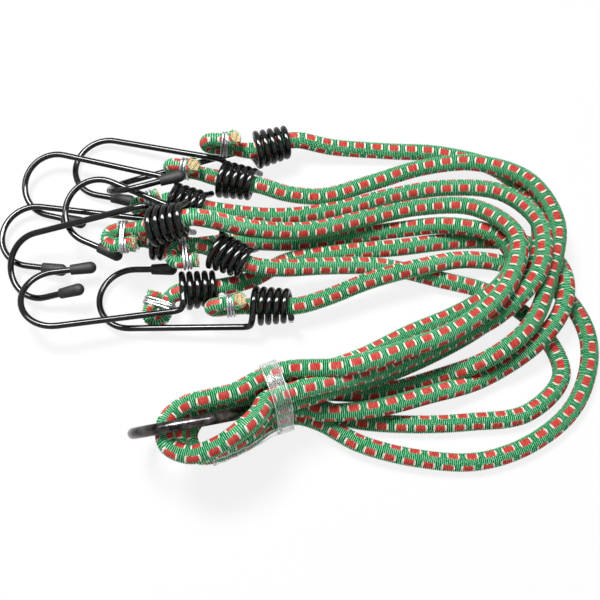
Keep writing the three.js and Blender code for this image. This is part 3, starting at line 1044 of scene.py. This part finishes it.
for number in arms:
    line = clip_line(number)
    shape = tube(line, [clip_radius] * len(line), clip_sides)
    add_piece(f"bright_clip_{number}", shape, bright_wire, "cords", "clip_wire", f"wire_clip_{number}")
print("clips", len(arms), "with", clip_windings, "windings each")

# %% [markdown]
# The ring is a plain one of dark steel: a circle spun once about the ring's own axis.

# %% Steel ring
ring_diameter = 48 * mm
ring_wire = 4.6 * mm
ring_line_radius = (ring_diameter - ring_wire) / 2
ring_centre = Vector((-46, -64, 24)) * mm
ring_heading = math.radians(11)
ring_lean = math.radians(18.5)
ring_sides = 20
ring_steps = 96

ring_place = to_origin @ Matrix.Translation(ring_centre)
ring_place @= Matrix.Rotation(ring_heading, 4, "Z") @ Matrix.Rotation(math.pi / 2 + ring_lean, 4, "X")
ring = bmesh.new()
section = Matrix.Translation((ring_line_radius, 0, 0)) @ Matrix.Rotation(math.pi / 2, 4, "X")
bmesh.ops.create_circle(ring, segments=ring_sides, radius=ring_wire / 2, matrix=section)
bmesh.ops.spin(
    ring, geom=ring.verts[:] + ring.edges[:], cent=(0, 0, 0), axis=(0, 0, 1), angle=2 * math.pi,
    steps=ring_steps, use_merge=True,
)
close_up(ring, merge_gap)
bmesh.ops.transform(ring, matrix=ring_place, verts=ring.verts)
add_piece("welded_ring", ring, dark_steel, "ring", "ring_steel", "steel_ring")
print(f"ring {ring_diameter / mm:.0f} mm across")

# %% [markdown]
# The clear band is a strap of film drawn round the eight strands. The CAD solid has its shape already, so a
# copy of it is merged, its rims are rounded, and the copy takes its place. The film is a little narrower
# than its solid. Both pieces of film have their rims painted white as a glint, so a second material goes on
# those faces.


# %% A piece of film
def mark_rim(faces):
    """Gives these faces the second material of their piece."""
    for face in faces:
        face.material_index = 1


def add_film(name, shape, *nodes):
    """Adds a piece of film, with the painted white glint of its rims as its second material."""
    piece = add_piece(name, shape, film, "cords", "band_clear", *nodes)
    piece.data.materials.append(film_rim_glint.material)
    print(name, "has", len(piece.data.polygons), "faces")


# %% Clear band
band_centre = Vector((-10, -52, 0)) * mm
band_heading = math.radians(20)
film_share = 0.78
flat_angle = math.radians(1)
rim_angle = math.radians(60)
rim_round = 0.28 * mm

band = bmesh.new()
band.from_mesh(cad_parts["clear_band"].data)
bmesh.ops.remove_doubles(band, verts=band.verts, dist=merge_gap)
bmesh.ops.dissolve_limit(band, angle_limit=flat_angle, verts=band.verts, edges=band.edges)
band_place = to_origin @ Matrix.Translation(band_centre) @ Matrix.Rotation(band_heading, 4, "Z")
bmesh.ops.scale(band, vec=(film_share, 1, 1), space=band_place.inverted(), verts=band.verts)
rims = [edge for edge in band.edges if edge.is_manifold and edge.calc_face_angle() > rim_angle]
rounded = bmesh.ops.bevel(
    band, geom=rims, offset=rim_round, offset_type="OFFSET", segments=2, profile=0.5, affect="EDGES",
    material=-1,
)
# the rounded rims get the painted glint
mark_rim(rounded["faces"])
add_film("film_band", band, "clear_band")

# %% [markdown]
# The band's loose end is a thin strip that lies along the foremost strand. It is a grid, laid on a smooth
# line through chosen points, bulged a little across and waved along, and given a thickness.

# %% Places of the loose end
tail_route = [
    (-8, -63.4, 15), (-13.5, -66.2, 14.8), (-19.1, -70.4, 16.2), (-23, -73.1, 17.8),
    (-26.9, -75.4, 19), (-30.8, -77.4, 19.9), (-35.2, -79.2, 20.2),
]
tail_out = Vector((-0.2, -0.86, 0.46)).normalized()
tail_steps = 6
tail_line = centripetal([to_origin @ (Vector(point) * mm) for point in tail_route], tail_steps)
print("rings of the loose end", len(tail_line))

# %% Loose end of the band
tail_width = 3 * mm
tail_columns = 7
tail_bulge = 0.35 * mm
tail_wave = 0.25 * mm
wave_pace = 0.9
film_thickness = 0.25 * mm

strip = bmesh.new()
last_step = len(tail_line) - 1
bmesh.ops.create_grid(strip, x_segments=last_step, y_segments=tail_columns, size=1)
for vert in strip.verts:
    step = round((vert.co.x + 1) / 2 * last_step)
    run = tail_line[min(step + 1, last_step)] - tail_line[max(step - 1, 0)]
    side = tail_out.cross(run).normalized()
    curl = tail_out * (tail_bulge * (1 - vert.co.y**2) + tail_wave * math.sin(step * wave_pace))
    vert.co = tail_line[step] + side * (vert.co.y * tail_width / 2) + curl
# the strip's rims get the painted glint
mark_rim([face for face in strip.faces if any(edge.is_boundary for edge in face.edges)])
bmesh.ops.solidify(strip, geom=strip.faces[:], thickness=film_thickness)
bmesh.ops.recalc_face_normals(strip, faces=strip.faces)
add_film("film_tail", strip)

# %% [markdown]
# The photograph has a plain white ground. The floor is a large pale plane that keeps a soft shadow, and most
# of what the camera sees of it is a plain white, so that the ground stays white without more light on the
# object. The sky is mixed in the same way.


# %% White for sight alone
def white_for_sight(nodes, lit, white, share):
    """Mixes a shader with plain white, by a share, in what the camera, mirrors and clear pieces see."""
    seen = [nodes.node("ShaderNodeLightPath", output=f"Is {kind} Ray") for kind in ("Camera", "Glossy")]
    seen.append(nodes.node("ShaderNodeLightPath", output="Is Transmission Ray"))
    factor = seen[0].larger(seen[1]).larger(seen[2]) * share
    return nodes.node("ShaderNodeMixShader", {}, {0: factor, 1: lit, 2: white})


# %% Floor
floor_size = 6
floor_grey = srgb(238, 238, 238)
white_share = 0.85
shadow_reach = 0.25
white_from = 0.9

floor_shape = bmesh.new()
bmesh.ops.create_grid(floor_shape, x_segments=2, y_segments=2, size=floor_size / 2)
floor_mesh = bpy.data.meshes.new("floor")
floor_shape.to_mesh(floor_mesh)
floor_shape.free()
floor = bpy.data.objects.new("floor", floor_mesh)
link(floor)

ground = Finish("pale_floor", base_color=floor_grey, roughness=0.9, specular_ior_level=0.1)
lit_floor = Value(ground, ground.shader.outputs[0])
white_floor = ground.node("ShaderNodeEmission")
off_middle = ground.node("ShaderNodeVectorMath", {"operation": "LENGTH"}, {0: ground.place()}, "Value")
far_out = off_middle.ramp(shadow_reach, white_from)
floor_mix = white_for_sight(ground, lit_floor, white_floor, white_share + far_out * (1 - white_share))
ground.tree.links.new(floor_mix.socket, ground.tree.nodes["Material Output"].inputs[0])
floor_mesh.materials.append(ground.material)
ground.tell()

# %% Sky
white_light = (1, 1, 1, 1)
sky_strength = 0.12

world = bpy.data.worlds.new("studio")
bpy.context.scene.world = world
world.use_nodes = True
sky = Nodes(world.node_tree)
lit_sky = sky.node("ShaderNodeBackground", {}, {"Color": white_light, "Strength": sky_strength})
white_sky = sky.node("ShaderNodeBackground", {}, {"Color": white_light, "Strength": 1.0})
sky_mix = white_for_sight(sky, lit_sky, white_sky, 1.0)
sky.tree.links.new(sky_mix.socket, sky.tree.nodes["World Output"].inputs[0])
print("sky strength", sky_strength)

# %% [markdown]
# The light comes from soft boxes: a key from behind on the left, and a faint fill. A wide strip shows only
# in reflections: it draws the long streaks on the black wire and leaves the colours alone.


# %% Lamps
def add_lamp(name, place, width, depth, watts, lights_colours=True):
    """A soft box, this wide from left to right, that faces the middle of the object."""
    data = bpy.data.lights.new(name, "AREA")
    data.shape = "RECTANGLE"
    data.size = width
    data.size_y = depth
    data.energy = watts
    lamp = bpy.data.objects.new(name, data)
    lamp.location = place
    lamp.rotation_mode = "QUATERNION"
    lamp.rotation_quaternion = (-Vector(place)).to_track_quat("-Z", "Y")
    lamp.visible_diffuse = lights_colours
    link(lamp)
    print(name, watts, "W")


add_lamp("key_box", place=(-0.25, 0.3, 1.1), width=0.35, depth=0.35, watts=15.5)
add_lamp("fill_box", place=(0.6, -0.5, 0.9), width=0.4, depth=0.4, watts=1.2)
add_lamp("gloss_strip", place=(0, 0.25, 1.0), width=1.6, depth=0.32, watts=80, lights_colours=False)
bpy.context.scene.view_settings.view_transform = "Standard"
